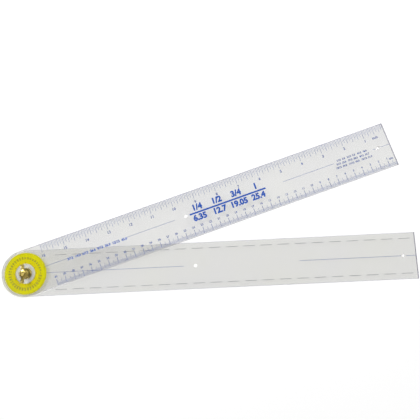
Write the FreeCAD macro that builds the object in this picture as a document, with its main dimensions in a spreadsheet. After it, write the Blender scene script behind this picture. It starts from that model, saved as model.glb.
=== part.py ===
import FreeCAD, Part
import math
import os
import Sketcher

# Angle finder with two clear arms, in millimetres.
#
# The tool is two alike plastic arms that turn about one brass screw. A yellow ring with
# degree marks lies between them, and a wing nut clamps them at the angle that was found.
#
# Frame: the origin is on the pivot's axis, in the plain arm's underside. +X runs along the
# plain arm and +Z is up. The scale arm lies on top, opened about +Z as photographed.

LENGTHS = {
    # The blank that both arms are cut from: 18 in by 2 in of 1/8 in clear sheet
    "arm_length": 457.2,
    "arm_width": 50.8,
    "arm_thickness": 3.175,
    "edge_break": 0.3,
    # The small round holes on each arm's centre line, from the pivot and from the square end
    "peg_hole_diameter": 3.969,
    "middle_hole_reach": 188.0,
    "end_hole_inset": 14.3,
    # The yellow degree ring, bonded to the plain arm
    "ring_outer_diameter": 45.72,
    "ring_inner_diameter": 22.225,
    "ring_thickness": 1.5875,
    # The clear friction washer lies in the ring's open middle, with this gap round it
    "arm_washer_gap": 0.3,
    # The brass pivot screw: a flat head and a square neck in the plain arm, then the shank
    "shank_diameter": 4.8,
    "neck_width": 4.8,
    "neck_recess": 0.3,
    "neck_shoulder_diameter": 7.2,
    "head_diameter": 12.0,
    "head_rim": 0.3,
    "head_cone": 1.3,
    "screw_length": 13.2,
    "screw_end_chamfer": 0.5,
    # Clearances: round the turning shank, round the seated head, and between rubbing faces
    "pivot_clearance": 0.05,
    "seat_clearance": 0.05,
    "face_clearance": 0.05,
    # The clear washer under the nut
    "nut_washer_diameter": 12.0,
    "nut_washer_thickness": 0.5,
    # The brass wing nut: a flanged, tapered hub and two round wings that thin outwards
    "hub_base_diameter": 10.0,
    "hub_neck_diameter": 8.6,
    "hub_top_diameter": 7.4,
    "hub_height": 4.0,
    "hub_flange": 0.8,
    "wing_span": 20.6,
    "wing_height": 6.6,
    "wing_lobe_radius": 2.4,
    "wing_root_inset": 2.9,
    "wing_root_rise": 1.2,
    "wing_root_drop": 0.8,
    "wing_root_thickness": 3.0,
    "wing_tip_thickness": 1.8,
    "wing_edge_round": 0.5,
    "nut_mouth_chamfer": 0.4,
    # One overrun for every cut that must pass a face
    "overrun": 1.0,
}

ANGLES = {
    # The opening between the arms, and the turn of the wings, as photographed
    "opening_angle": 16.92,
    "wing_turn": 90.0,
}

UP = FreeCAD.Vector(0, 0, 1)
START, END, CENTRE = range(1, 4)
SKETCH_ORIGIN = (-1, 1)
SKETCH_AXES = {"DistanceX": -2, "DistanceY": -1}

document = FreeCAD.newDocument("AngleFinder")
sheet = document.addObject("Spreadsheet::Sheet", "Sizes")
for row, (alias, value) in enumerate({**LENGTHS, **ANGLES}.items(), start=1):
    sheet.set(f"A{row}", alias)
    sheet.set(f"B{row}", str(value))
    sheet.setAlias(f"B{row}", alias)
document.recompute()


def size(alias):
    """One driving dimension, read from the sheet."""
    return float(sheet.get(alias))


def point(x, y):
    """A point in a sketch's own plane."""
    return FreeCAD.Vector(x, y, 0)


def new_body(label):
    """An empty body whose label names its file."""
    body = document.addObject("PartDesign::Body", label)
    body.Label = label
    return body


def origin_plane(body, role):
    """One of the body's own three planes."""
    return next(item for item in body.Origin.OriginFeatures if item.Role == role)


def new_sketch(body, name, role="XY_Plane", height=None):
    """A sketch on one of the body's own planes, or raised along its normal."""
    sketch = body.newObject("Sketcher::SketchObject", name)
    sketch.AttachmentSupport = (origin_plane(body, role), [""])
    sketch.MapMode = "FlatFace"
    if height:
        sketch.setExpression("AttachmentOffset.Base.z", height)
    return sketch


def drive(sketch, constraint, expression):
    """A dimension of a sketch, tied to the sheet."""
    index = sketch.addConstraint(constraint)
    sketch.setExpression(f"Constraints[{index}]", expression)


def place(sketch, element, vertex, x, y):
    """Hold a vertex at its distances from the sketch's origin, or on an axis where one is 0."""
    start = sketch.getPoint(element, vertex)
    for kind, expression, length in (("DistanceX", x, start.x), ("DistanceY", y, start.y)):
        if expression == "0":
            on_axis = Sketcher.Constraint("PointOnObject", element, vertex, SKETCH_AXES[kind])
            sketch.addConstraint(on_axis)
        else:
            held = Sketcher.Constraint(kind, *SKETCH_ORIGIN, element, vertex, length)
            drive(sketch, held, expression)


def add_circle(sketch, diameter, reach="0"):
    """A circle on the sketch's X axis, its diameter and reach tied to the sheet."""
    start = Part.Circle(point(0, 0), UP, size("shank_diameter"))
    circle = sketch.addGeometry(start, False)
    place(sketch, circle, CENTRE, reach, "0")
    drive(sketch, Sketcher.Constraint("Diameter", circle, start.Radius), diameter)


def add_polygon(sketch, corners):
    """A closed outline of straight lines through corners given as pairs of expressions."""
    turns = [math.tau * index / len(corners) for index in range(len(corners))]
    starts = [point(math.cos(turn), math.sin(turn)) for turn in turns]
    lines = []
    for here, there in zip(starts, starts[1:] + starts[:1]):
        lines.append(sketch.addGeometry(Part.LineSegment(here, there), False))
    for line, following in zip(lines, lines[1:] + lines[:1]):
        sketch.addConstraint(Sketcher.Constraint("Coincident", line, END, following, START))
    for line, (x, y) in zip(lines, corners):
        place(sketch, line, START, x, y)


def add_feature(body, kind, name, sketch, **settings):
    """A sketched feature of the body, with its plain settings."""
    feature = body.newObject(kind, name)
    feature.Profile = sketch
    for setting, value in settings.items():
        setattr(feature, setting, value)
    sketch.Visibility = False
    return feature


def add_pad(body, name, sketch, length):
    """A pad from its sketch along the sketch's normal."""
    pad = add_feature(body, "PartDesign::Pad", name, sketch)
    pad.setExpression("Length", length)
    document.recompute()
    return pad


def add_through_cut(body, name, sketch):
    """A pocket through the whole piece, both ways from its sketch."""
    before = body.Shape.Volume
    cut = add_feature(body, "PartDesign::Pocket", name, sketch, Type="ThroughAll", Midplane=True)
    document.recompute()
    if body.Shape.Volume >= before:
        raise ValueError(f"{name} cuts nothing")
    return cut


def add_turned(body, kind, name, sketch):
    """A revolution or groove of a full turn about the sketch's vertical axis."""
    turned = add_feature(body, kind, name, sketch, ReferenceAxis=(sketch, ["V_Axis"]), Angle=360)
    document.recompute()
    return turned


def add_dressing(body, kind, name, chosen, alias):
    """A fillet or chamfer on the edges of the body's tip that a test chooses."""
    base = body.Tip
    edges = base.Shape.Edges
    names = [f"Edge{index}" for index, edge in enumerate(edges, start=1) if chosen(edge)]
    if not names:
        raise ValueError(f"{name} finds no edge")
    dressing = body.newObject(kind, name)
    dressing.Base = (base, names)
    dressing.setExpression("Radius" if kind.endswith("Fillet") else "Size", f"Sizes.{alias}")
    document.recompute()
    return dressing


def lies_level(edge, heights):
    """Whether an edge lies in one of the level planes."""
    box = edge.BoundBox
    near = size("edge_break") / 2
    return any(abs(box.ZMin - z) < near and abs(box.ZMax - z) < near for z in heights)


def arm_blank(label):
    """One arm's flat blank: round at the pivot, square at the far end, edges broken."""
    body = new_body(label)
    radius = size("arm_width") / 2
    reach = size("arm_length") - radius
    sketch = new_sketch(body, f"{label}_outline")
    half_circle = Part.ArcOfCircle(Part.Circle(point(0, 0), UP, radius), math.pi / 2, 3 * math.pi / 2)
    end = sketch.addGeometry(half_circle, False)
    upper = sketch.addGeometry(Part.LineSegment(point(0, radius), point(reach, radius)), False)
    tip = sketch.addGeometry(Part.LineSegment(point(reach, radius), point(reach, -radius)), False)
    lower = sketch.addGeometry(Part.LineSegment(point(reach, -radius), point(0, -radius)), False)
    sketch.addConstraint([
        Sketcher.Constraint("Coincident", end, CENTRE, *SKETCH_ORIGIN),
        Sketcher.Constraint("Tangent", end, START, upper, START),
        Sketcher.Constraint("Tangent", end, END, lower, END),
        Sketcher.Constraint("Coincident", upper, END, tip, START),
        Sketcher.Constraint("Coincident", tip, END, lower, START),
        Sketcher.Constraint("Horizontal", upper),
        Sketcher.Constraint("Horizontal", lower),
        Sketcher.Constraint("Vertical", tip),
    ])
    drive(sketch, Sketcher.Constraint("Radius", end, radius), "Sizes.arm_width / 2")
    drive(
        sketch,
        Sketcher.Constraint("DistanceX", *SKETCH_ORIGIN, tip, START, reach),
        "Sizes.arm_length - Sizes.arm_width / 2",
    )
    add_pad(body, f"{label}_plate", sketch, "Sizes.arm_thickness")
    faces = (0, size("arm_thickness"))
    add_dressing(
        body,
        "PartDesign::Chamfer",
        f"{label}_broken_edges",
        lambda edge: lies_level(edge, faces),
        "edge_break",
    )
    holes = new_sketch(body, f"{label}_peg_hole_circles")
    add_circle(holes, "Sizes.peg_hole_diameter", "Sizes.middle_hole_reach")
    end_reach = "Sizes.arm_length - Sizes.arm_width / 2 - Sizes.end_hole_inset"
    add_circle(holes, "Sizes.peg_hole_diameter", end_reach)
    add_through_cut(body, f"{label}_peg_holes", holes)
    return body


def square_corners(half):
    """The corners of a square about the origin, from the expression of half its width."""
    return [(half, half), (f"-({half})", half), (f"-({half})", f"-({half})"), (half, f"-({half})")]


def plain_arm():
    """The lower arm, with a square hole and a countersink for the screw's neck and head."""
    body = arm_blank("plain_arm")
    square = new_sketch(body, "plain_arm_neck_square")
    add_polygon(square, square_corners("Sizes.neck_width / 2 + Sizes.seat_clearance"))
    add_through_cut(body, "plain_arm_neck_hole", square)
    rim = "Sizes.head_diameter / 2 + Sizes.seat_clearance"
    shoulder = "Sizes.neck_shoulder_diameter / 2 + Sizes.seat_clearance"
    seat = new_sketch(body, "plain_arm_head_seat", "XZ_Plane")
    add_polygon(seat, [
        ("0", "-Sizes.overrun"),
        (rim, "-Sizes.overrun"),
        (rim, "Sizes.head_rim"),
        (shoulder, "Sizes.head_rim + Sizes.head_cone"),
        ("0", "Sizes.head_rim + Sizes.head_cone"),
    ])
    before = body.Shape.Volume
    add_turned(body, "PartDesign::Groove", "plain_arm_countersink", seat)
    if body.Shape.Volume >= before:
        raise ValueError("the countersink cuts nothing")
    return body


def scale_arm():
    """The upper arm, with a round hole that turns on the screw's shank."""
    body = arm_blank("scale_arm")
    circle = new_sketch(body, "scale_arm_pivot_circle")
    add_circle(circle, "Sizes.shank_diameter + 2 * Sizes.pivot_clearance")
    add_through_cut(body, "scale_arm_pivot_hole", circle)
    height = size("arm_thickness") + size("ring_thickness") + size("face_clearance")
    turn = FreeCAD.Rotation(UP, size("opening_angle"))
    body.Placement = FreeCAD.Placement(UP * height, turn)
    return body


def flat_ring(label, outer, inner, thickness, height):
    """A flat round piece with a round hole, lying at a height."""
    body = new_body(label)
    sketch = new_sketch(body, f"{label}_circles")
    add_circle(sketch, outer)
    add_circle(sketch, inner)
    add_pad(body, f"{label}_disc", sketch, thickness)
    body.Placement = FreeCAD.Placement(UP * height, FreeCAD.Rotation())
    return body


def degree_ring():
    """The yellow ring that carries the degree marks, on top of the plain arm."""
    return flat_ring(
        "degree_ring",
        "Sizes.ring_outer_diameter",
        "Sizes.ring_inner_diameter",
        "Sizes.ring_thickness",
        size("arm_thickness"),
    )


def arm_washer():
    """The clear friction washer between the arms, inside the ring."""
    return flat_ring(
        "arm_washer",
        "Sizes.ring_inner_diameter - 2 * Sizes.arm_washer_gap",
        "Sizes.shank_diameter + 2 * Sizes.pivot_clearance",
        "Sizes.ring_thickness",
        size("arm_thickness"),
    )


def nut_washer_height():
    """The height of the scale arm's top face, and the clearance over it."""
    return 2 * (size("arm_thickness") + size("face_clearance")) + size("ring_thickness")


def nut_washer():
    """The clear washer that the nut turns on the scale arm."""
    return flat_ring(
        "nut_washer",
        "Sizes.nut_washer_diameter",
        "Sizes.shank_diameter + 2 * Sizes.pivot_clearance",
        "Sizes.nut_washer_thickness",
        nut_washer_height(),
    )


def pivot_screw():
    """The brass screw: a flat head and a shank turned in one profile, and a square neck."""
    body = new_body("pivot_screw")
    shank = "Sizes.shank_diameter / 2"
    shoulder = "Sizes.neck_shoulder_diameter / 2"
    profile = new_sketch(body, "pivot_screw_profile", "XZ_Plane")
    add_polygon(profile, [
        ("0", "0"),
        ("Sizes.head_diameter / 2", "0"),
        ("Sizes.head_diameter / 2", "Sizes.head_rim"),
        (shoulder, "Sizes.head_rim + Sizes.head_cone"),
        (shank, "Sizes.head_rim + Sizes.head_cone"),
        (shank, "Sizes.screw_length - Sizes.screw_end_chamfer"),
        (f"{shank} - Sizes.screw_end_chamfer", "Sizes.screw_length"),
        ("0", "Sizes.screw_length"),
    ])
    add_turned(body, "PartDesign::Revolution", "pivot_screw_turning", profile)
    square = new_sketch(body, "pivot_screw_neck_square", height="Sizes.head_rim + Sizes.head_cone")
    add_polygon(square, square_corners("Sizes.neck_width / 2"))
    neck_length = "Sizes.arm_thickness - Sizes.neck_recess - Sizes.head_rim - Sizes.head_cone"
    add_pad(body, "pivot_screw_neck", square, neck_length)
    return body


def wing_outline(body):
    """One wing from the side: a round lobe, joined to the hub by two tangent edges."""
    radius = size("wing_lobe_radius")
    middle = point(size("wing_span") / 2 - radius, size("wing_height") - radius)
    root = size("wing_root_inset")
    foot = point(root, size("wing_root_rise"))
    crown = point(root, size("hub_height") - size("wing_root_drop"))
    sketch = new_sketch(body, "wing_outline", "XZ_Plane")
    lobe_arc = Part.ArcOfCircle(Part.Circle(middle, UP, radius), -math.pi / 3, 2 * math.pi / 3)
    lobe = sketch.addGeometry(lobe_arc, False)
    under = sketch.addGeometry(Part.LineSegment(foot, lobe_arc.StartPoint), False)
    inner = sketch.addGeometry(Part.LineSegment(lobe_arc.EndPoint, crown), False)
    closing = sketch.addGeometry(Part.LineSegment(crown, foot), False)
    sketch.addConstraint([
        Sketcher.Constraint("Tangent", under, END, lobe, START),
        Sketcher.Constraint("Tangent", lobe, END, inner, START),
        Sketcher.Constraint("Coincident", inner, END, closing, START),
        Sketcher.Constraint("Coincident", closing, END, under, START),
    ])
    drive(sketch, Sketcher.Constraint("Radius", lobe, radius), "Sizes.wing_lobe_radius")
    lobe_x = "Sizes.wing_span / 2 - Sizes.wing_lobe_radius"
    place(sketch, lobe, CENTRE, lobe_x, "Sizes.wing_height - Sizes.wing_lobe_radius")
    place(sketch, under, START, "Sizes.wing_root_inset", "Sizes.wing_root_rise")
    crown_height = "Sizes.hub_height - Sizes.wing_root_drop"
    place(sketch, closing, START, "Sizes.wing_root_inset", crown_height)
    return sketch


def wing_nut():
    """The brass wing nut: two wings thinned outwards, joined by a turned hub, with round rims."""
    body = new_body("wing_nut")
    body.AllowCompound = True
    wing = add_feature(body, "PartDesign::Pad", "wing", wing_outline(body), Midplane=True)
    wing.setExpression("Length", "Sizes.wing_root_thickness")
    document.recompute()
    thick = "Sizes.wing_root_thickness / 2"
    thin = "Sizes.wing_tip_thickness / 2"
    past_tip = "Sizes.wing_span / 2 + Sizes.overrun"
    wedges = new_sketch(body, "wing_taper")
    for side in ("", "-"):
        add_polygon(wedges, [
            ("Sizes.wing_root_inset", f"{side}({thick})"),
            (past_tip, f"{side}({thin})"),
            (past_tip, f"{side}({thick} + Sizes.overrun)"),
            ("Sizes.wing_root_inset", f"{side}({thick} + Sizes.overrun)"),
        ])
    taper = add_through_cut(body, "wing_thinning", wedges)
    mirrored = body.newObject("PartDesign::Mirrored", "second_wing")
    mirrored.Originals = [wing, taper]
    mirrored.MirrorPlane = (origin_plane(body, "YZ_Plane"), [""])
    body.Tip = mirrored
    document.recompute()
    profile = new_sketch(body, "hub_profile", "YZ_Plane")
    add_polygon(profile, [
        ("0", "0"),
        ("Sizes.hub_base_diameter / 2", "0"),
        ("Sizes.hub_base_diameter / 2", "Sizes.hub_flange"),
        ("Sizes.hub_neck_diameter / 2", "Sizes.hub_flange"),
        ("Sizes.hub_top_diameter / 2", "Sizes.hub_height"),
        ("0", "Sizes.hub_height"),
    ])
    add_turned(body, "PartDesign::Revolution", "hub", profile)
    add_dressing(body, "PartDesign::Fillet", "wing_rims", is_wing_rim, "wing_edge_round")
    circle = new_sketch(body, "nut_bore_circle")
    add_circle(circle, "Sizes.shank_diameter + 2 * Sizes.pivot_clearance")
    add_through_cut(body, "nut_bore", circle)
    add_dressing(body, "PartDesign::Chamfer", "nut_mouths", is_nut_mouth, "nut_mouth_chamfer")
    height = nut_washer_height() + size("nut_washer_thickness") + size("face_clearance")
    turn = FreeCAD.Rotation(UP, size("wing_turn"))
    body.Placement = FreeCAD.Placement(UP * height, turn)
    return body


def is_wing_rim(edge):
    """Whether an edge runs along a wing's outline, outside the hub."""
    box = edge.BoundBox
    reach = max(abs(box.XMin), abs(box.XMax))
    outside_hub = reach > size("hub_neck_diameter") / 2
    runs_along = box.XLength > size("wing_edge_round")
    return outside_hub and runs_along and box.YLength < size("wing_tip_thickness") / 2


def is_nut_mouth(edge):
    """Whether an edge is the rim of the nut's bore."""
    bore_radius = size("shank_diameter") / 2 + size("pivot_clearance")
    is_round = isinstance(edge.Curve, Part.Circle)
    return is_round and abs(edge.Curve.Radius - bore_radius) < size("pivot_clearance") / 2


pieces = [
    plain_arm(),
    pivot_screw(),
    degree_ring(),
    arm_washer(),
    scale_arm(),
    nut_washer(),
    wing_nut(),
]
document.recompute()

for item in document.Objects:
    if {"Invalid", "Error"} & set(item.State):
        raise RuntimeError(f"{item.Name} failed: {item.State}")

os.makedirs("parts", exist_ok=True)
for piece in pieces:
    shape = piece.Shape
    if shape.isNull() or not shape.isValid() or len(shape.Solids) != 1:
        raise RuntimeError(f"{piece.Label} is not one sound solid")
    shape.exportStep(f"parts/{piece.Label}.step")
    print(f"{piece.Label}: {shape.Volume:.1f} mm3, {len(shape.Faces)} faces")
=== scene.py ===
# %% [markdown]
# # An angle finder with two clear arms
#
# The tool is two clear plastic arms that turn about one brass screw. A yellow dial lies
# between them and a brass wing nut clamps them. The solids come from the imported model, in
# metres, so this notebook only adds what a solid lacks: the printed scales, the thread, the
# cast shape of the nut, the finishes, and a small studio to look at it in.

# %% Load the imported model
import math

import bmesh
import bpy
import numpy as np
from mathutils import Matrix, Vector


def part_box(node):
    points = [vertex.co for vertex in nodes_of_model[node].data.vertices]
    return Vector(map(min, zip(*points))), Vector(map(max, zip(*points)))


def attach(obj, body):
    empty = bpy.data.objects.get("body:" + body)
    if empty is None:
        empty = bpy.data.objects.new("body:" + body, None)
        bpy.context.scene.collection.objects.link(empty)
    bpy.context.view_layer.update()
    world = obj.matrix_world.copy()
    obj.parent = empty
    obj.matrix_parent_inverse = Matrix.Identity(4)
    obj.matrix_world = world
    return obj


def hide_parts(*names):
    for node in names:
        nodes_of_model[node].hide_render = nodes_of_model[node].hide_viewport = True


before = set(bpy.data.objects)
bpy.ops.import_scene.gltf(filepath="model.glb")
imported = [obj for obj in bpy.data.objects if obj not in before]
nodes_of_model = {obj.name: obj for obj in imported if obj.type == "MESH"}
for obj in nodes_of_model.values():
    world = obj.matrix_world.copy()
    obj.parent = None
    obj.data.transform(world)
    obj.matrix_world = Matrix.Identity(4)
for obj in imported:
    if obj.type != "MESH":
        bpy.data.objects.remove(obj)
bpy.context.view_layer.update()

print("pieces in the model:", ", ".join(sorted(nodes_of_model)))

# %% [markdown]
# The model's own boxes say how high each face lies, so every printed line can sit on the
# face that carries it. Lengths in this notebook are written in millimetres, because that is
# how a toolmaker would say them, and turned into metres at the last moment.

# %% Read the heights that the printing needs
MM = 0.001
INCH = 25.4

# an arm's half width, and its reach from the pivot to its square end
HALF_WIDTH = 25.4
ARM_REACH = 431.8
OPENING = math.radians(16.92)


def top_of(node):
    """The height of a piece's top face, in millimetres."""
    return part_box(node)[1].z / MM


plain_top = top_of("plain_arm")
ring_top = top_of("degree_ring")
scale_top = top_of("scale_arm")
ring_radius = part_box("degree_ring")[1].x / MM
print(f"faces at {plain_top:.3f}, {ring_top:.3f} and {scale_top:.3f} mm")
print(f"dial's radius {ring_radius:.2f} mm")

# %% [markdown]
# ## The camera
#
# The tool was looked at from less than half a metre above its middle, so the pivot is seen
# a little from the side. A lens of 35 mm on a 36 mm wide sensor at that distance brings both
# arms into a square picture. The place and the small tilts came from lining up the scale's
# inch marks, the arms' edges and the two far ends.

# %% Camera
CAMERA_PLACE = (0.21141, 0.00551, 0.45815)
CAMERA_TILTS = (6.926, 0.891, -2.703)

camera_data = bpy.data.cameras.new("camera")
camera_data.sensor_width = 36
camera_data.lens = 34.97
camera = bpy.data.objects.new("camera", camera_data)
camera.location = CAMERA_PLACE
camera.rotation_euler = [math.radians(tilt) for tilt in CAMERA_TILTS]
bpy.context.scene.collection.objects.link(camera)
bpy.context.scene.camera = camera
bpy.context.scene.view_settings.view_transform = "Standard"
print(f"camera {camera.location.z:.3f} m above the card")

# %% [markdown]
# ## Shader maths as arithmetic
#
# A node tree is easier to read as a formula. `Value` holds one output of a node and turns
# `+`, `-`, `*`, `/` and `**` into Math nodes. `Nodes` adds every other kind of node with one
# method: the settings are set first, because some of them change the sockets, and then the
# sockets are given numbers or links.

# %% A small class for node trees
class Value:
    """One output socket of a node, with arithmetic that adds Math nodes."""

    def __init__(self, nodes, socket):
        self.nodes = nodes
        self.socket = socket

    def maths(self, operation, *others):
        """This value and up to two more, put through one Math node."""
        inputs = dict(enumerate((self, *others)))
        return self.nodes.add("ShaderNodeMath", {"operation": operation}, inputs)

    def __add__(self, other):
        return self.maths("ADD", other)

    def __mul__(self, other):
        return self.maths("MULTIPLY", other)

    def __sub__(self, other):
        return self.maths("SUBTRACT", other)

    def __truediv__(self, other):
        return self.maths("DIVIDE", other)

    def __pow__(self, other):
        return self.maths("POWER", other)

    def __rsub__(self, other):
        return (self * -1).maths("ADD", other)

    __radd__ = __add__
    __rmul__ = __mul__

    def absolute(self):
        """The size of the value without its sign."""
        return self.maths("ABSOLUTE")

    def within(self, low, high):
        """0 below low, 1 above high, and a straight ramp between them."""
        ranges = {"From Min": low, "From Max": high}
        return self.nodes.add("ShaderNodeMapRange", {"clamp": True}, {"Value": self, **ranges})


class Nodes:
    """The node tree of a material or the world, emptied and filled again."""

    def __init__(self, owner):
        owner.use_nodes = True
        self.owner = owner
        self.tree = owner.node_tree
        self.tree.nodes.clear()

    def add(self, kind, settings=None, inputs=None, output=0):
        """A node of a kind, its settings, then its sockets' values or links."""
        node = self.tree.nodes.new(kind)
        for name, value in (settings or {}).items():
            setattr(node, name, value)
        for key, value in (inputs or {}).items():
            if isinstance(value, Value):
                self.tree.links.new(value.socket, node.inputs[key])
            else:
                node.inputs[key].default_value = value
        return Value(self, node.outputs[output])

    def where(self):
        """The point on the surface, in the object's own metres."""
        return self.add("ShaderNodeTexCoord", output="Object")

    def ray(self, kind):
        """1 where the ray that looks is of one kind, such as Camera or Shadow, else 0."""
        return self.add("ShaderNodeLightPath", output=f"Is {kind} Ray")

    def parts(self, vector, axes):
        """Some of a vector's three coordinates, each as a value of its own."""
        return [self.add("ShaderNodeSeparateXYZ", {}, {0: vector}, output=axis) for axis in axes]

    def length(self, vector):
        """How long a vector is."""
        settings = {"operation": "LENGTH"}
        return self.add("ShaderNodeVectorMath", settings, {0: vector}, output="Value")

    def noise(self, vector, size_mm, detail=3, roughness=0.5):
        """Cloudy noise whose blots are about size_mm across."""
        scale = 1 / (size_mm * MM)
        inputs = {"Vector": vector, "Scale": scale, "Detail": detail, "Roughness": roughness}
        return self.add("ShaderNodeTexNoise", {}, inputs)

    def stretch(self, vector, x, y, z):
        """The point with each coordinate multiplied by its own number."""
        settings = {"operation": "MULTIPLY"}
        return self.add("ShaderNodeVectorMath", settings, {0: vector, 1: (x, y, z)})

    def blend(self, factor, first, second):
        """A colour that goes from the first to the second as the factor goes from 0 to 1."""
        settings = {"data_type": "RGBA", "clamp_factor": True}
        inputs = {0: factor, 6: first, 7: second}
        return self.add("ShaderNodeMix", settings, inputs, output=2)

    def bump(self, height, strength, distance_mm):
        """A normal that leans as if the surface rose by the height."""
        inputs = {"Height": height, "Strength": strength, "Distance": distance_mm * MM}
        return self.add("ShaderNodeBump", {}, inputs)

    def mix_shaders(self, factor, first, second):
        """Two shaders, weighed by the factor."""
        return self.add("ShaderNodeMixShader", {}, {0: factor, 1: first, 2: second})

    def finish(self, shader, kind="ShaderNodeOutputMaterial"):
        """Send the shader to the tree's output and hand back the material or world."""
        node = self.tree.nodes.new(kind)
        self.tree.links.new(shader.socket, node.inputs["Surface"])
        return self.owner


def colour(red, green, blue):
    """A colour as Blender wants it, from the three numbers 0 to 255 of a screen colour."""
    levels = np.array((red, green, blue)) / 255
    linear = np.where(levels <= 0.04045, levels / 12.92, ((levels + 0.055) / 1.055) ** 2.4)
    return (*linear.tolist(), 1)


# %% [markdown]
# ## A white studio
#
# The tool lies on a pale card that is lit a little past white, as in a catalogue picture.
# The card is a pale grey surface, so that it takes the object's shadow, and it gives off the
# last step up to white for the rays that look at it: from the camera, off gloss, and a
# little through clear plastic, whose own grey comes from the card behind it. One large lamp
# stands at the upper left, hidden from gloss so that no metal mirrors it, and a weaker one at
# the upper right. A third, in front, lights nothing dull and only draws the highlights on the
# brass. The sky lights the tool evenly and is white to look at. Gloss and clear plastic see it
# pale at the near horizon and darker overhead and behind, as in a studio with a dark ceiling.

# %% The card
WHITE = (1, 1, 1, 1)
CARD_GREY = 0.80
CARD_GLOW = {"camera": 0.24, "glossy": 0.24, "transmission": 0.10}


def looking(nodes, camera, glossy, transmission):
    """The weight of the kind of ray that looks.

    A ray that has passed through plastic counts as glossy too, so glossy * (1 - passed) is
    what is left for a ray thrown back by gloss.
    """
    from_camera, off_gloss, passed = (
        nodes.ray(kind) for kind in ("Camera", "Glossy", "Transmission")
    )
    return from_camera * camera + (1 - passed) * off_gloss * glossy + passed * transmission


def white_card():
    """A pale grey surface with a glow that lifts it to white for the rays that look at it."""
    nodes = Nodes(bpy.data.materials.new("white_card"))
    grey = (CARD_GREY, CARD_GREY, CARD_GREY, 1)
    lit = nodes.add("ShaderNodeBsdfDiffuse", {}, {"Color": grey})
    strength = looking(nodes, **CARD_GLOW)
    glow = nodes.add("ShaderNodeEmission", {}, {"Color": WHITE, "Strength": strength})
    return nodes.finish(nodes.add("ShaderNodeAddShader", {}, {0: lit, 1: glow}))


def add_floor(half, height):
    """One flat square card under the tool."""
    ends = ((-1, -1), (1, -1), (1, 1), (-1, 1))
    corners = [(x * half, y * half, height) for x, y in ends]
    mesh = bpy.data.meshes.new("floor")
    mesh.from_pydata(corners, [], [(0, 1, 2, 3)])
    floor = bpy.data.objects.new("floor", mesh)
    bpy.context.scene.collection.objects.link(floor)
    mesh.materials.append(white_card())
    print(f"card of {2 * half:.1f} m, {-height / MM:.2f} mm under the tool")


add_floor(half=1.0, height=-0.05 * MM)

# %% The sky
SKY = 0.40
SEEN_AT_HORIZON = 0.8
LOST_OVERHEAD, LOST_BEHIND = 0.75, 0.7


def sky():
    """An even grey light, seen as white, and mirrored as darker overhead and behind.

    strength = SKY, raised to 1 for the camera's rays and brought to the seen level for rays
    from gloss or plastic. The seen level falls as the direction's Z rises and as its Y does.
    """
    world = bpy.data.worlds.new("sky")
    bpy.context.scene.world = world
    nodes = Nodes(world)
    towards = nodes.add("ShaderNodeTexCoord", output="Generated")
    away, height = nodes.parts(towards, "YZ")
    seen = SEEN_AT_HORIZON - height.within(0.05, 0.8) * LOST_OVERHEAD
    seen = seen * (1 - away.within(-0.4, 0.5) * LOST_BEHIND)
    to_camera = looking(nodes, 1, 0, 0) * (1 - SKY)
    to_others = looking(nodes, 0, 1, 1) * (seen - SKY)
    strength = to_camera + to_others + SKY
    light = nodes.add("ShaderNodeBackground", {}, {"Color": WHITE, "Strength": strength})
    nodes.finish(light, "ShaderNodeOutputWorld")
    print(f"sky of strength {SKY}, seen as 1 by the camera")


sky()

# %% The lamps
MIDDLE = np.array((0.2, 0.05, 0.0))


def add_lamp(name, place, side, power, mirrored=True, lighting=True):
    """A square lamp that faces the tool's middle, mirrored by gloss or lighting what is dull.

    Its lean is the angle whose cosine is height / distance, its heading that of its foot.
    """
    lamp_data = bpy.data.lights.new(name, "AREA")
    lamp_data.size = side
    lamp_data.energy = power
    lamp = bpy.data.objects.new(name, lamp_data)
    lamp.visible_glossy = mirrored
    lamp.visible_diffuse = lighting
    back = np.array(place) - MIDDLE
    distance = np.linalg.norm(back)
    lamp.location = place
    lamp.rotation_euler = (0, math.acos(back[2] / distance), math.atan2(back[1], back[0]))
    bpy.context.scene.collection.objects.link(lamp)
    print(f"{name} at {distance:.2f} m")


add_lamp("left_lamp", place=(-1.1, 0.68, 1.95), side=0.55, power=30, mirrored=False)
add_lamp("right_lamp", place=(0.95, 0.85, 0.9), side=0.7, power=7.5)
add_lamp("front_lamp", place=(-0.55, -0.55, 1.3), side=0.4, power=12, lighting=False)

# %% [markdown]
# ## Clear plastic
#
# The arms are cut from polished clear sheet. Real sheet takes away a little of the light
# that passes, its sawn edges look darker than its faces, and handling leaves faint scuffs.
# The glass of the Principled shader bends the light. Where the face stands upright a frosted
# skin is mixed in: violet grey where the sheet is sawn and white where a drill has cut it. The
# square far end's wall is darkened as painted shade and the round end's wall lightened as
# painted light. All are found by their place: the holes lie on an arm's middle line, and close
# to the screw the walls are rubbed clear. The washers' plastic is softer and a little milky.
#
# The lamps have to light the dial and the card through the arms. Bent light would reach them
# only by luck, so the rays that ask how much light arrives, shadow rays and scattered rays,
# meet a plain see-through shader instead.

# %% Find a point's place in an arm
def asking_for_light(nodes):
    """1 for shadow rays and for rays scattered off a dull surface, else 0."""
    return nodes.ray("Shadow").maths("MAXIMUM", nodes.ray("Diffuse"))


def in_arm(nodes, place, opening):
    """How far a point lies along its arm from the pivot and across it, in millimetres."""
    inputs = {"Vector": nodes.stretch(place, 1 / MM, 1 / MM, 0), "Angle": -opening}
    settings = {"rotation_type": "Z_AXIS"}
    return nodes.parts(nodes.add("ShaderNodeVectorRotate", settings, inputs), "XY")


# %% Clear plastic for the arms and the washers
# white frost for the drilled holes, also used as painted light on the round end; violet grey for
# sawn walls; painted shade for the square end
WHITE_FROST_AND_PAINTED_LIGHT, SAWN, PAINTED_SHADE_ON_END = colour(244, 244, 240), colour(188, 187, 203), colour(158, 157, 170)

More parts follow.
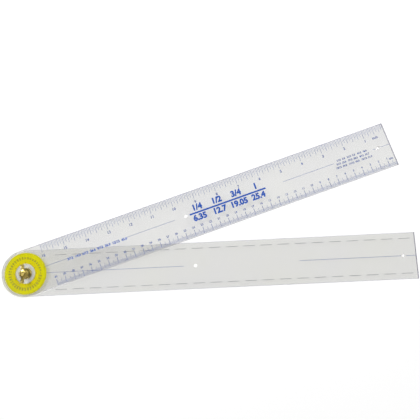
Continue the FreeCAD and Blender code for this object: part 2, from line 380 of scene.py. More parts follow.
# where each cut begins and ends, in millimetres along an arm, across it or from the screw; the
# two ends' spans are where painted shade and painted light fade in
SQUARE_END, ROUND_END, BESIDE_HOLES = (425, 430), (-8, 8), (3, 5)
FROSTED_FROM, MILKY_FROM = (7, 9), (6, 8)

# the upright part of a face's normal: frosted up to the first, clear from the second
WALL_TO_FACE = (0.72, 0.97)


def clear_plastic(name, tint, edge_tint, opening=0.0, milky=0.0, bending=1.49):
    """Polished clear sheet: tinted glass with frosted cuts, painted shade and light on its two
    ends, faint scuffs and haze.
    """
    nodes = Nodes(bpy.data.materials.new(name))
    place = nodes.where()
    along, across = in_arm(nodes, place, opening)
    from_screw = (along**2 + across**2) ** 0.5
    # painted shade: the square far end's wall is darkened
    painted_shade_square_end = along.within(*SQUARE_END)
    drilled = (1 - across.absolute().within(*BESIDE_HOLES)) * (1 - painted_shade_square_end)
    # painted light: the round end's wall is lightened
    painted_light_round_end = 1 - along.within(*ROUND_END)
    facing = nodes.add("ShaderNodeNewGeometry", output="Normal")
    flatness = nodes.parts(facing, "Z")[0].absolute()
    edge = (1 - flatness.within(*WALL_TO_FACE)) * from_screw.within(*FROSTED_FROM)
    cloud = nodes.noise(place, 60, detail=2)
    scuffs = nodes.noise(nodes.stretch(place, 0.08, 1, 1), 1.2, detail=6, roughness=0.7)
    scuffed = scuffs.within(0.6, 0.72)
    saw = nodes.noise(nodes.stretch(place, 1, 1, 0.15), 0.35, detail=2)
    body = nodes.blend(cloud.within(0.35, 0.65) * 0.25, tint, edge_tint)
    inputs = {
        "Base Color": nodes.blend(edge, body, edge_tint),
        "Roughness": 0.015 + scuffed * 0.03 + edge * 0.11,
        "IOR": bending,
        "Transmission Weight": 1,
        "Normal": nodes.bump(saw * edge + scuffed * 0.05, 0.12, 0.05),
    }
    glass = nodes.add("ShaderNodeBsdfPrincipled", {}, inputs)
    # the wall's colour: sawn violet grey, white frost in the holes, painted shade on the square
    # end and painted light on the round end
    wall_colour_and_painted_ends = nodes.blend(drilled + painted_light_round_end, nodes.blend(painted_shade_square_end, SAWN, PAINTED_SHADE_ON_END), WHITE_FROST_AND_PAINTED_LIGHT)
    frost_inputs = {
        "Base Color": nodes.blend(edge, WHITE_FROST_AND_PAINTED_LIGHT, wall_colour_and_painted_ends),
        "Roughness": 0.7,
        "Specular IOR Level": 0.1,
    }
    frost = nodes.add("ShaderNodeBsdfPrincipled", {}, frost_inputs)
    frosted = edge * (0.65 + (drilled + painted_shade_square_end) * 0.25)
    cloudy = frosted + from_screw.within(*MILKY_FROM) * milky
    seen = nodes.mix_shaders(cloudy, glass, frost)
    passing = nodes.add("ShaderNodeBsdfTransparent")
    return nodes.finish(nodes.mix_shaders(asking_for_light(nodes), seen, passing))


def dress(node, material):
    """Give one of the model's own pieces its finish."""
    for material_slot in nodes_of_model[node].material_slots:
        material_slot.material = material
    print(f"{node} is now {material.name}")


EDGE_TINT = colour(238, 237, 244)
plain_tint, scale_tint, washer_tint = (
    colour(240, 240, 236), colour(246, 246, 244), colour(255, 255, 250)
)
dress("plain_arm", clear_plastic("clear_plain_arm", plain_tint, EDGE_TINT))
dress("scale_arm", clear_plastic("clear_scale_arm", scale_tint, EDGE_TINT, OPENING))
washer_finish = clear_plastic("clear_washer", washer_tint, EDGE_TINT, milky=0.35, bending=1.34)
dress("nut_washer", washer_finish)

# %% [markdown]
# ## The yellow dial
#
# The dial is thin sheet printed in one strong yellow, warmer towards the middle. The ink is
# laid a little unevenly, which shows as a faint mottle. It is read through the clear arm,
# which takes some of its light, so its own yellow is brighter than it looks. The sheet is
# thin enough to let much of the light through to the card, so it throws only a soft shadow.

# %% Yellow sheet
def yellow_sheet():
    """Satin yellow print: warmer inside, with a fine mottle and a slight orange peel."""
    nodes = Nodes(bpy.data.materials.new("yellow_ring"))
    place = nodes.where()
    radius = nodes.length(nodes.stretch(place, 1, 1, 0)) / MM
    mottle = nodes.noise(place, 2.5, detail=4)
    warm = nodes.blend(radius.within(11, 19), colour(231, 215, 0), colour(228, 223, 0))
    yellow = nodes.blend(mottle.within(0.4, 0.7) * 0.4, warm, colour(200, 194, 2))
    inputs = {
        "Base Color": yellow,
        "Specular IOR Level": 0.05,
        "Roughness": 0.38 + mottle * 0.15,
        "Normal": nodes.bump(nodes.noise(place, 0.4, detail=2), 0.15, 0.02),
    }
    sheet = nodes.add("ShaderNodeBsdfPrincipled", {}, inputs)
    let_through = nodes.add("ShaderNodeBsdfTransparent", {}, {"Color": (0.95, 0.93, 0.7, 1)})
    return nodes.finish(nodes.mix_shaders(asking_for_light(nodes) * 0.8, sheet, let_through))


dress("degree_ring", yellow_sheet())

# %% [markdown]
# ## Brass
#
# The screw is turned and the nut is cast and tumbled. Both are bare brass: bright where
# they rub, browner where grime stays. The turned screw has fine rings about its axis, which
# a wave of the radius gives; the nut has the soft unevenness of a tumbled casting.

# %% Brass, turned and cast
RING_PITCH = 0.09 * MM


def brass(name, rings):
    """Bare brass: metal colour with a brown stain, and turning rings or a cast skin."""
    nodes = Nodes(bpy.data.materials.new(name))
    place = nodes.where()
    stain = nodes.noise(place, 2.2, detail=5, roughness=0.6).within(0.45, 0.72)
    grain = nodes.noise(place, 0.25, detail=3)
    if rings:
        radius = nodes.length(nodes.stretch(place, 1, 1, 0.35))
        relief = (radius * (math.tau / RING_PITCH)).maths("SINE") * 0.5 + grain * 0.5
    else:
        relief = nodes.noise(place, 0.7, detail=4) + grain * 0.3
    inputs = {
        "Base Color": nodes.blend(stain * 0.75, colour(224, 202, 118), colour(146, 122, 52)),
        "Metallic": 1,
        "Roughness": 0.26 + stain * 0.16 + grain * 0.06,
        "Normal": nodes.bump(relief, 0.22, 0.03),
    }
    return nodes.finish(nodes.add("ShaderNodeBsdfPrincipled", {}, inputs))


turned_brass = brass("turned_brass", rings=True)
cast_brass = brass("cast_brass", rings=False)
dress("pivot_screw", turned_brass)
dress("wing_nut", cast_brass)

# %% [markdown]
# ## Ink
#
# The scales are screen printed: a thin film that lies on the plastic. A film has thickness,
# if only a few hundredths of a millimetre, so every mark here is a closed slab that starts
# just inside the plastic and ends just above it. The blue is a little thin in places, and so
# thin a film dims the card under it by only a little.

# %% Printing inks
def ink(name, dark, thin):
    """Printing ink: one colour that pales where the film is thin."""
    nodes = Nodes(bpy.data.materials.new(name))
    place = nodes.where()
    worn = nodes.noise(place, 3.5, detail=4).within(0.35, 0.7)
    grain = nodes.noise(place, 0.3, detail=2)
    inputs = {
        "Base Color": nodes.blend(worn * 0.4 + grain * 0.1, dark, thin),
        "Roughness": 0.42 + grain * 0.12,
        "Normal": nodes.bump(grain, 0.1, 0.01),
    }
    film = nodes.add("ShaderNodeBsdfPrincipled", {}, inputs)
    passing = nodes.add("ShaderNodeBsdfTransparent")
    return nodes.finish(nodes.mix_shaders(asking_for_light(nodes) * 0.8, film, passing))


blue_ink = ink("blue_ink", colour(20, 64, 146), colour(48, 96, 172))
bold_blue_ink = ink("bold_blue_ink", colour(10, 76, 176), colour(34, 104, 200))
grey_ink = ink("grey_ink", colour(136, 138, 142), colour(154, 155, 160))
dial_ink = ink("dial_ink", colour(50, 42, 24), colour(78, 68, 32))
print(f"inks on the arms: {blue_ink.name}, {bold_blue_ink.name} and {grey_ink.name}")

# %% [markdown]
# Two helpers print everything. `bars` makes straight strokes as slabs, all at once: each
# slab's eight corners are picked from its lowest and highest x, y and z. `words` turns
# numbers into solid letters with Blender's own font and carries each one to its place.

# %% Slabs of ink
FILM_LOW, FILM_HIGH = -0.010, 0.016
print(f"a film of ink stands {FILM_HIGH:.3f} mm proud of its face")

# a slab's corners as picks of the low or high x, y and z, and its faces seen from outside
SLAB_CORNERS = np.array([
    (0, 0, 0), (1, 0, 0), (1, 1, 0), (0, 1, 0), (0, 0, 1), (1, 0, 1), (1, 1, 1), (0, 1, 1),
])
SLAB_FACES = np.array([
    (0, 3, 2, 1), (4, 5, 6, 7), (0, 1, 5, 4), (1, 2, 6, 5), (2, 3, 7, 6), (3, 0, 4, 7),
])


def bars(spans):
    """Slabs over rows of (x low, x high, y low, y high): corner = low + pick * (high - low)."""
    spans = np.atleast_2d(np.asarray(spans, float))
    film = np.tile((FILM_LOW, FILM_HIGH), (len(spans), 1))
    low = np.column_stack((spans[:, 0], spans[:, 2], film[:, 0]))
    high = np.column_stack((spans[:, 1], spans[:, 3], film[:, 1]))
    corners = low[:, None] + SLAB_CORNERS[None] * (high - low)[:, None]
    faces = SLAB_FACES[None] + len(SLAB_CORNERS) * np.arange(len(spans))[:, None, None]
    return corners.reshape(-1, 3), faces.reshape(-1, 4).tolist()


def turned(points, angle):
    """Points turned about Z by one angle or by one each: x cos - y sin, x sin + y cos."""
    cos, sin = np.cos(angle), np.sin(angle)
    x, y, z = points.T
    return np.column_stack((x * cos - y * sin, x * sin + y * cos, z))


# %% Solid numbers
# the height of the font's digits as a share of its size
DIGIT_SHARE = 0.73


def letter_mesh(text, height, swell):
    """The points and faces of one line of text, centred, of the digits' height, in mm."""
    curve = bpy.data.curves.new("letters", "FONT")
    curve.body = text
    curve.align_x, curve.align_y = "CENTER", "CENTER"
    curve.size = height / DIGIT_SHARE
    curve.extrude = (FILM_HIGH - FILM_LOW) / 2
    curve.offset = swell * height
    curve.resolution_u = 3
    letters = bpy.data.objects.new("letters", curve)
    bpy.context.scene.collection.objects.link(letters)
    bpy.context.view_layer.update()
    set_out = letters.evaluated_get(bpy.context.evaluated_depsgraph_get())
    solid = bpy.data.meshes.new_from_object(set_out)
    points = np.empty(3 * len(solid.vertices))
    solid.vertices.foreach_get("co", points)
    faces = [tuple(face.vertices) for face in solid.polygons]
    bpy.data.objects.remove(letters)
    bpy.data.curves.remove(curve)
    bpy.data.meshes.remove(solid)
    points = points.reshape(-1, 3)
    points[:, 2] += (FILM_LOW + FILM_HIGH) / 2
    return points, faces


def words(lines, height, swell=0.035):
    """Lines of (text, x, y, turn), each turned about its own middle and carried to x, y."""
    parts = []
    for text, x, y, turn in lines:
        points, faces = letter_mesh(text, height, swell)
        parts.append((turned(points, turn) + (x, y, 0), faces))
    return parts


def joined(parts):
    """Several (points, faces) as one, the later faces counted on from the earlier points."""
    all_points, all_faces, count = [], [], 0
    for points, faces in parts:
        all_points.append(points)
        all_faces += [tuple(index + count for index in face) for face in faces]
        count += len(points)
    return np.vstack(all_points), all_faces


# %% [markdown]
# A mark is worked out on the flat, in the arm's own frame, and then laid on its face:
# turned by the arm's opening and lifted to the face's height. `new_piece` makes the object,
# closes its seams, and lets it ride on the body that carries it.

# %% Lay a piece on its body
# points nearer than this, in metres, are one, and edges bent by more than this stay sharp
SEAM, SHARP_ANGLE = 1e-7, math.radians(38)


def new_piece(name, points_mm, faces, material, body, smooth=False):
    """An object at the origin whose mesh holds its place, closed, and riding on a body."""
    mesh = bpy.data.meshes.new(name)
    mesh.from_pydata((np.asarray(points_mm) * MM).tolist(), [], faces)
    shell = bmesh.new()
    shell.from_mesh(mesh)
    bmesh.ops.remove_doubles(shell, verts=shell.verts, dist=SEAM)
    open_edges = sum(not edge.is_manifold for edge in shell.edges)
    shell.to_mesh(mesh)
    shell.free()
    if smooth:
        mesh.polygons.foreach_set("use_smooth", np.ones(len(mesh.polygons), bool))
        mesh.set_sharp_from_angle(angle=SHARP_ANGLE)
    mesh.materials.append(material)
    piece = bpy.data.objects.new(name, mesh)
    bpy.context.scene.collection.objects.link(piece)
    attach(piece, body)
    print(f"{name}: {len(mesh.polygons)} faces, {open_edges} open edges")
    return piece


def print_on(name, parts, material, body, height, opening=0.0):
    """Ink on a level face: the parts joined, turned by the opening and lifted."""
    points, faces = joined(parts)
    points = turned(points, opening) + (0, 0, height)
    return new_piece(name, points, faces, material, body)


def print_on_scale_arm(name, parts, material):
    """Ink on the upper arm's top face."""
    return print_on(name, parts, material, "swinging_arm", scale_top, OPENING)


# %% [markdown]
# ## The washer between the arms
#
# Two clear pieces that touch still have a film of air between them, and light needs it: with
# both faces in one plane it can't be told which plastic a ray has left. The washer is
# therefore turned again here as a profile carried round the axis, a few hundredths of a
# millimetre clear of both arms, with its rims softened.

# %% Rings turned from a profile
def turned_ring(radii, heights, count):
    """A closed profile carried round Z: point = (r cos t, r sin t, z) for each turn t."""
    turn = np.linspace(0, math.tau, count, endpoint=False)
    x = np.outer(np.cos(turn), radii)
    y = np.outer(np.sin(turn), radii)
    z = np.tile(heights, (count, 1))
    size = len(radii)
    here = np.arange(count)[:, None] * size + np.arange(size)[None]
    onward = np.roll(here, -1, axis=1)
    beside, beside_onward = np.roll(here, -1, axis=0), np.roll(onward, -1, axis=0)
    quads = np.stack((here, beside, beside_onward, onward), axis=-1)
    return np.stack((x, y, z), axis=-1).reshape(-1, 3), quads.reshape(-1, 4).tolist()


def flat_profile(inner, outer, low, high, soften):
    """A rectangle with its four corners cut, as (radius, height) listed once round."""
    under = [(inner + soften, low), (outer - soften, low)]
    outside = [(outer, low + soften), (outer, high - soften)]
    over = [(outer - soften, high), (inner + soften, high)]
    inside = [(inner, high - soften), (inner, low + soften)]
    return np.array(under + outside + over + inside).T


# %% The washer, clear of both arms
WASHER_HOLE, WASHER_SOFTENED = 2.45, 0.08
WASHER_LOW, WASHER_HIGH = plain_top + 0.03, ring_top - 0.01

washer_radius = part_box("arm_washer")[1].x / MM
radii, heights = flat_profile(
    WASHER_HOLE, washer_radius, WASHER_LOW, WASHER_HIGH, WASHER_SOFTENED
)
washer_skin = turned_ring(radii, heights, count=96)
arm_washer = new_piece("clear_arm_washer", *washer_skin, washer_finish, "base")
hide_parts("arm_washer")

# %% [markdown]
# ## The threaded screw
#
# The screw is turned from brass rod: a flat head with a square neck under it, which keeps it
# from turning in the lower arm, and a thread cut by a die. A lathe or a die makes a radius
# for every height and turn, so the whole screw is one grid of heights by turns: the radius is
# looked up for each, and the thread is a zigzag wound round the shank, a pitch for each turn.

# %% A skin over rings of points
def skin_of_rings(rings):
    """A closed skin over rings listed upwards, with a fan to the middle of each end ring."""
    rows, count, _ = rings.shape
    points = np.vstack((rings.reshape(-1, 3), rings[0].mean(axis=0), rings[-1].mean(axis=0)))
    here = np.arange(rows * count).reshape(rows, count)
    onward = np.roll(here, -1, axis=1)
    sides = np.stack((here[:-1], onward[:-1], onward[1:], here[1:]), axis=-1).reshape(-1, 4)
    under = np.column_stack((onward[0], here[0], np.full(count, rows * count)))
    over = np.column_stack((here[-1], onward[-1], np.full(count, rows * count + 1)))
    return points, sides.tolist() + under.tolist() + over.tolist()


def rings_about_axis(radii, heights):
    """Points (r cos t, r sin t, z): each row has a radius r for each turn t and one height."""
    turn = np.linspace(0, math.tau, radii.shape[1], endpoint=False)
    level = np.broadcast_to(np.asarray(heights)[:, None], radii.shape)
    return np.stack((radii * np.cos(turn), radii * np.sin(turn), level), axis=-1)


# %% The thread
# the pitch, and the radii of the thread's crest, its root and the tip's flat face
PITCH, CREST, ROOT, TIP = INCH / 32, 2.38, 1.93, 1.9

# the height where the thread starts, the rise over which it deepens, and the grid's steps
THREAD_FOOT, RUN_OUT, THREAD_STEP, SCREW_TURNS = 4.2, 0.5, 0.06, 72

screw_top = top_of("pivot_screw")
turn = np.linspace(0, math.tau, SCREW_TURNS, endpoint=False)
climb = np.arange(THREAD_FOOT, screw_top + 0.01, THREAD_STEP)
climb[-1] = screw_top

# the zigzag is 1 on the helix z = pitch * t / tau and 0 half a pitch above it
zigzag = np.abs(2 * ((climb[:, None] / PITCH - turn / math.tau) % 1) - 1)

# a tenth of the zigzag is cut flat at the crest and at the root, and the tip is bevelled
ridge = np.clip(1.25 * zigzag - 0.125, 0, 1)
depth = (CREST - ROOT) * np.clip((climb - THREAD_FOOT) / RUN_OUT, 0, 1)[:, None]
thread = np.minimum(CREST - depth * (1 - ridge), TIP + screw_top - climb[:, None])
print(f"thread of {(screw_top - THREAD_FOOT) / PITCH:.1f} turns")

# %% The screw from head to tip
NECK_HALF, NECK_FOOT, NECK_TOP = 2.4, 1.6, 2.875
SQUARENESS = 16

# a square with slightly round corners: half / (|cos|^n + |sin|^n)^(1/n)
powers = np.abs(np.cos(turn)) ** SQUARENESS + np.abs(np.sin(turn)) ** SQUARENESS
square = NECK_HALF / powers ** (1 / SQUARENESS)
shank = np.full(SCREW_TURNS, CREST)

# the countersunk head's radii and heights, with its rim softened, and then the square neck
head = [(5.88, 0.0), (6.0, 0.12), (6.0, 0.3), (3.6, NECK_FOOT)]
head = [(np.full(SCREW_TURNS, radius), height) for radius, height in head]
neck = [(square, NECK_FOOT), (square, NECK_TOP), (shank, NECK_TOP)]
radii, heights = zip(*head, *neck, *zip(thread, climb))
screw_skin = skin_of_rings(rings_about_axis(np.array(radii), heights))
threaded_screw = new_piece("threaded_screw", *screw_skin, turned_brass, "base", smooth=True)
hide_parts("pivot_screw")

# %% [markdown]
# ## The wing nut
#
# A cast nut has no sharp inner corners: the wings flow out of the hub. Such a shape is easy to
# state as a field, a number at each point of space that is below zero inside. Fields of plain
# forms are blended with a rounded minimum, and the skin is drawn where the result is zero. The
# nut is cast on its side, tumbled, faced flat underneath and tapped.

# %% Blended fields
def blended(first, second, reach):
    """The lower of two fields, rounded where they are nearer to each other than the reach."""
    near = np.clip(1 - np.abs(first - second) / reach, 0, None)
    return np.minimum(first, second) - reach * near**2 / 4


def both(first, second, reach):
    """What lies inside both fields, its edge rounded: the blend of the two turned inside out."""
    return -blended(-first, -second, reach)


# %% The hub and the wings
HUB_HEIGHT, HUB_RADIUS, HUB_TAPER = 4.0, 4.3, 0.6
FLANGE_HEIGHT, FLANGE_RADIUS = 0.8, 5.0
ROUNDED, FLANGE_ROUNDED = 0.5, 0.3

# the wing's line in (x, z), its outline's half width at the root, and how much the lobe adds
WING_ROOT, WING_LOBE = np.array((2.9, 2.2)), np.array((7.9, 4.2))
ROOT_HALF, LOBE_ADDS = 1.0, 1.4

# half the wing's thickness at the root, what it loses over its length, and the lobe's dish
WING_HALF, WING_LOSES, WING_LENGTH = 1.5, 0.6, 7.4
DISH_DEPTH, DISH_RADIUS_SQUARED = 0.25, 3.2


def hub_field(away, z):
    """A cone on a flange: distance from the axis less a radius, cut by |z - middle| - half."""
    slant = HUB_TAPER * (z - FLANGE_HEIGHT) / (HUB_HEIGHT - FLANGE_HEIGHT)
    level = np.abs(z - HUB_HEIGHT / 2) - HUB_HEIGHT / 2
    cone = both(away - HUB_RADIUS + slant, level, ROUNDED)
    flange_level = np.abs(z - FLANGE_HEIGHT / 2) - FLANGE_HEIGHT / 2
    flange = both(away - FLANGE_RADIUS, flange_level, FLANGE_ROUNDED)
    return blended(cone, flange, ROUNDED)


def wing_field(x, y, z):
    """A slab round a line from root to lobe: distance from the line less a growing width.

    It is cut by |y| less half a thickness, which shrinks outwards and dips in the lobe's dish.
    """
    way = WING_LOBE - WING_ROOT
    from_root = np.stack((x - WING_ROOT[0], z - WING_ROOT[1]))
    along = np.clip((from_root[0] * way[0] + from_root[1] * way[1]) / (way @ way), 0, 1)
    off_line = np.hypot(from_root[0] - along * way[0], from_root[1] - along * way[1])
    outline = off_line - ROOT_HALF - LOBE_ADDS * along**1.4
    off_lobe = np.hypot(x - WING_LOBE[0], z - WING_LOBE[1])
    dish = DISH_DEPTH * np.clip(1 - off_lobe**2 / DISH_RADIUS_SQUARED, 0, 1)
    half = WING_HALF - WING_LOSES * np.clip(from_root[0] / WING_LENGTH, 0, 1) - dish
    return both(outline, np.abs(y) - half, ROUNDED)


# %% The skin where a field is zero
def skin_of_field(field, low, step):
    """One point in each cell that the surface crosses, and one face across each crossed edge.

    The point is the mean of the crossings on the cell's edges. A crossing lies at
    before / (before - after) of the way along its edge.
    """
    total = np.zeros((*np.subtract(field.shape, 1), 3))
    count = np.zeros(total.shape[:3])
    crossings = []
    for axis in range(3):
        order = [axis, *(other for other in range(3) if other != axis)]
        before, after = field.transpose(order)[:-1], field.transpose(order)[1:]
        crossed = (before < 0) != (after < 0)
        place = np.empty((*crossed.shape, 3))
        place[..., order] = np.moveaxis(np.indices(crossed.shape), 0, -1)
        place[..., axis] += before / np.where(crossed, before - after, 1)
        place[~crossed] = 0
        sums, counts = total.transpose(*order, 3), count.transpose(order)
        for j, k in ((0, 0), (0, 1), (1, 0), (1, 1)):
            shifted = np.s_[:, j:crossed.shape[1] - 1 + j, k:crossed.shape[2] - 1 + k]
            sums += place[shifted]
            counts += crossed[shifted]
        crossings.append((order, crossed[:, 1:-1, 1:-1], (before < 0)[:, 1:-1, 1:-1]))
    number = np.cumsum(count > 0).reshape(count.shape) - 1
    faces = []
    for order, crossed, inside in crossings:
        around = number.transpose(order)
        cells = (around[:, :-1, :-1], around[:, 1:, :-1], around[:, 1:, 1:], around[:, :-1, 1:])
        quads = np.stack(cells, axis=-1)[crossed]
        outwards = (inside[crossed] == (order[0] != 1))[:, None]
        faces += np.where(outwards, quads, quads[:, ::-1]).tolist()
    used = count > 0
    return low + step * total[used] / count[used][:, None], faces


# %% Cast the wing nut
# the grid's lowest corner, its step and its points along x, y and z
NUT_LOW, STEP, NUT_GRID = np.array((-10.65, -5.4, -0.3)), 0.15, (143, 73, 49)
BORE, MOUTH = 2.45, 2.85
WING_BLEND = 1.4

x, y, z = NUT_LOW[:, None, None, None] + STEP * np.indices(NUT_GRID)
away = np.hypot(x, y)
solid = blended(hub_field(away, z), wing_field(np.abs(x), y, z), WING_BLEND)

# what is bored away is the outside of the bore and of the cones at its two mouths
mouths = MOUTH - away - np.minimum(z, HUB_HEIGHT - z)
nut = np.maximum.reduce((solid, BORE - away, mouths, -z))
nut_points, nut_faces = skin_of_field(nut, NUT_LOW, STEP)

nut_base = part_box("wing_nut")[0].z / MM
nut_skin = turned(nut_points, math.pi / 2) + (0, 0, nut_base), nut_faces
cast_nut = new_piece("cast_wing_nut", *nut_skin, cast_brass, "clamping_nut", smooth=True)
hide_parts("wing_nut")

# %% [markdown]
# ## The inch scale
#
# The scale starts at the arm's far end and is numbered back towards the pivot, so that a
# reading is a distance from the square tip. Each inch has sixteen ticks. A tick's length
# depends only on how many times two divides its number, so five lengths are enough.

# %% Ticks and numbers counted from the tip
def by_step(count, sizes):
    """Each tick's size: that of the first step in the table that divides its number."""
    numbers = np.arange(count + 1)
    return np.select([numbers % step == 0 for step in sizes], list(sizes.values()))


def ticks(pitch, count, lengths, widths, edge, inwards):
    """Ticks counted back from the tip, growing inwards from a long edge."""
    reach = ARM_REACH - pitch * np.arange(count + 1)
    half = by_step(count, widths) / 2
    inner = edge + inwards * by_step(count, lengths)
    low, high = np.minimum(edge, inner), np.maximum(edge, inner)
    return np.column_stack((reach - half, reach + half, low, high))[1:]


def numbers_from_tip(pitch, last, across, shift=0.0):
    """The numbers 1 to last, one for each pitch back from the tip."""
    return [(str(n), ARM_REACH - pitch * n + shift, across, 0) for n in range(1, last + 1)]


# %% Inch scale
LAST_INCH, INCH_MARGIN = 16, 0.45
INCH_LENGTHS = {16: 9.4, 8: 9.0, 4: 8.4, 2: 6.7, 1: 4.8}
INCH_WIDTHS = {16: 0.34, 4: 0.32, 2: 0.28, 1: 0.21}

inch_edge = HALF_WIDTH - INCH_MARGIN
inch_rows = ticks(
    INCH / 16, 16 * LAST_INCH, INCH_LENGTHS, INCH_WIDTHS, inch_edge, inwards=-1
)
inch_numbers = numbers_from_tip(INCH, LAST_INCH, HALF_WIDTH - 13.5, shift=0.2)
inch_sign = [("inch", ARM_REACH - 13.4, HALF_WIDTH - 13.2, 0)]
print_on_scale_arm("inch_scale", [bars(inch_rows)], blue_ink)
print_on_scale_arm("inch_numbers", words(inch_numbers, height=3.1), blue_ink)
print_on_scale_arm("inch_sign", words(inch_sign, height=2.9), blue_ink)

# %% [markdown]
# ## The centimetre scale
#
# The opposite edge carries centimetres, ruled the same way from the same end. The numbers
# are smaller here, since forty of them have to share the arm.

# %% Centimetre scale
CENTIMETRE, LAST_CENTIMETRE, CM_MARGIN = 10.0, 40, 0.9
CM_LENGTHS = {10: 7.2, 5: 5.8, 1: 3.5}
CM_WIDTHS = {10: 0.48, 5: 0.30, 1: 0.26}

cm_edge = -HALF_WIDTH + CM_MARGIN
cm_rows = ticks(
    CENTIMETRE / 10, 10 * LAST_CENTIMETRE, CM_LENGTHS, CM_WIDTHS, cm_edge, inwards=1
)
cm_numbers = numbers_from_tip(CENTIMETRE, LAST_CENTIMETRE, -HALF_WIDTH + 10.6)
cm_sign = [("cm", ARM_REACH - 5.6, -HALF_WIDTH + 9.6, 0)]
print_on_scale_arm("centimetre_scale", [bars(cm_rows)], blue_ink)
print_on_scale_arm("centimetre_numbers", words(cm_numbers, height=2.4), blue_ink)
print_on_scale_arm("centimetre_sign", words(cm_sign, height=2.8), blue_ink)

# %% [markdown]
# ## Centre lines and guide lines
#
# A thin line runs out from the dial along the middle of each arm, so that an arm can be laid
# on a drawn line. It is left out about the inner hole and the stretch beyond it, and round the
# hole near the tip. On the scale arm it also makes room for the slopes. The lower arm has a
# dashed line a quarter inch inside each long edge, three quarters of an inch from dash to dash.

# %% Lines on both arms
LINE_HALF, DASH_HALF = 0.17, 0.27
HOLE_REACH, HOLE_HALF = 417.5, 3.0
MIDDLE_BREAK = (175, 303)


def centre_line(*breaks):
    """The middle line from the dial to the tip, left out in each break and at the end hole."""
    first, last = ring_radius + 0.5, ARM_REACH - 0.6
    low_ends = [first, *(high for _, high in breaks), HOLE_REACH + HOLE_HALF]
    high_ends = [*(low for low, _ in breaks), HOLE_REACH - HOLE_HALF, last]
    return bars([(low, high, -LINE_HALF, LINE_HALF) for low, high in zip(low_ends, high_ends)])


def dashed_lines(inset, first, dash, pitch, last):
    """Dashes of one length and pitch along both long edges."""
    starts = np.arange(first, last - dash, pitch)
    rows = []
    for side in (-1, 1):
        low = np.full(len(starts), side * (HALF_WIDTH - inset) - DASH_HALF)
        rows.append(np.column_stack((starts, starts + dash, low, low + 2 * DASH_HALF)))
    return bars(np.vstack(rows))


scale_line = centre_line((50, 119), MIDDLE_BREAK, (364, 411))
dashes = dashed_lines(inset=6.35, first=32.4, dash=12.7, pitch=19.05, last=ARM_REACH)
print_on_scale_arm("scale_arm_centre_line", [scale_line], blue_ink)
print_on("plain_arm_centre_line", [centre_line(MIDDLE_BREAK)], blue_ink, "base", plain_top)
print_on("plain_arm_dashed_lines", [dashes], grey_ink, "base", plain_top)

# %% [markdown]
# ## A table of equal lengths
#
# The broad middle of the scale arm carries a printed table: quarters of an inch above a rule,
# and the same lengths in millimetres below it. It is set bold, to be found at a glance, so
# its letters are swollen by more of their height than the scales' numbers are.

# %% Table of quarters and millimetres
TABLE_START, TABLE_PITCH = 203.0, 23.0
ROW_OFF_RULE, RULE_HALF, RULE_OVERHANG = 5.8, 0.9, 10.4
QUARTERS = ("1/4", "1/2", "3/4", "1")

table_x = TABLE_START + TABLE_PITCH * np.arange(4)
upper = [(text, x, ROW_OFF_RULE, 0) for text, x in zip(QUARTERS, table_x)]
lower = [(f"{INCH * (n + 1) / 4:.4g}", x, -ROW_OFF_RULE, 0) for n, x in enumerate(table_x)]
rule = bars((TABLE_START - RULE_OVERHANG, table_x[-1] + RULE_OVERHANG, -RULE_HALF, RULE_HALF))
print_on_scale_arm("length_table_rule", [rule], bold_blue_ink)
table_numbers = words(upper + lower, height=6.6, swell=0.07)
print_on_scale_arm("length_table_numbers", table_numbers, bold_blue_ink)

# %% [markdown]
# ## Slopes and their angles
#
# An angle finder is often set to a slope, so the scale arm gives some: the rise on a run of
# 12, and the angle in degrees that goes with it. One row runs out from the dial on the middle
# line, and a few more stand near the tip. The angle is the one whose tangent is rise / run.

# %% Rows of slopes
def slope(rise, run=12):
    """A slope and its angle to a tenth of a degree, as text."""
    return f"{rise}/{run}  {math.degrees(math.atan2(rise, run)):.1f}"


NEAR_RISES, TIP_RISES = (3, 6, 9, 12), ((1, 2, 4), (5, 7, 8), (10, 11, 15))
TIP_ROWS_X, TIP_ROWS_Y, TIP_ROW_PITCH = 386.0, 1.7, 4.0

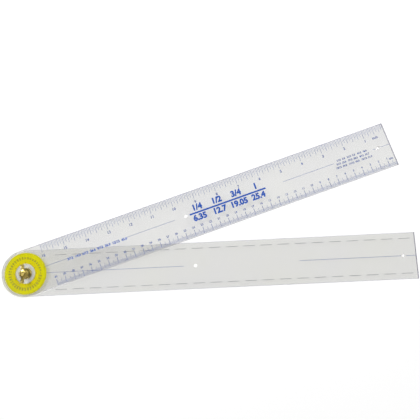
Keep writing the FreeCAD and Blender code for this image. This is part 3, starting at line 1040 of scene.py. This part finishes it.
near_row = [("  ".join(slope(rise) for rise in NEAR_RISES), 84.0, -1.0, 0)]
tip_rows = [
    ("   ".join(slope(rise) for rise in rises), TIP_ROWS_X, TIP_ROWS_Y - TIP_ROW_PITCH * row, 0)
    for row, rises in enumerate(TIP_RISES)
]
near_text = words(near_row, height=2.75, swell=0.06)
tip_text = words(tip_rows, height=2.05, swell=0.06)
print_on_scale_arm("slope_row_near_dial", near_text, bold_blue_ink)
print_on_scale_arm("slope_rows_near_tip", tip_text, blue_ink)

# %% [markdown]
# ## The dial's marks
#
# The dial is numbered every ten degrees, each number written outwards along its radius. A
# tick stands at each degree near the rim, longer at five and ten, and a short mark stands
# at the inner edge every thirty degrees.

# %% Dial marks
MARK_END, MARK_WIDTH = 22.3, 0.07
TEN_START, FIVE_START, ONE_START = 20.8, 21.2, 21.5
INNER_START, INNER_END, INNER_WIDTH = 11.5, 12.6, 0.5


def around(degrees, inner, outer, width):
    """Radial strokes: each slab is made on the X axis and turned to its own angle."""
    spans = np.tile((0.0, outer, -width / 2, width / 2), (len(degrees), 1))
    spans[:, 0] = inner
    corners, faces = bars(spans)
    return turned(corners, np.repeat(np.radians(degrees), len(SLAB_CORNERS))), faces


degrees = np.arange(360)
starts = np.select([degrees % 10 == 0, degrees % 5 == 0], [TEN_START, FIVE_START], ONE_START)
degree_marks = around(degrees, starts, MARK_END, MARK_WIDTH)
print_on("dial_degree_marks", [degree_marks], dial_ink, "base", ring_top)

# %% Dial numbers and inner marks
NUMBER_RADIUS = 16.9


def on_radius(number):
    """A number at its own angle on the dial, read along its radius: (r cos t, r sin t)."""
    turn = math.radians(number)
    return str(number), NUMBER_RADIUS * math.cos(turn), NUMBER_RADIUS * math.sin(turn), turn


tens = [on_radius(number) for number in range(0, 360, 10)]
dial_numbers = words(tens, height=1.7, swell=0.03)
inner_marks = around(np.arange(0, 360, 30), INNER_START, INNER_END, INNER_WIDTH)
print_on("dial_numbers", dial_numbers, dial_ink, "base", ring_top)
print_on("dial_inner_marks", [inner_marks], dial_ink, "base", ring_top)
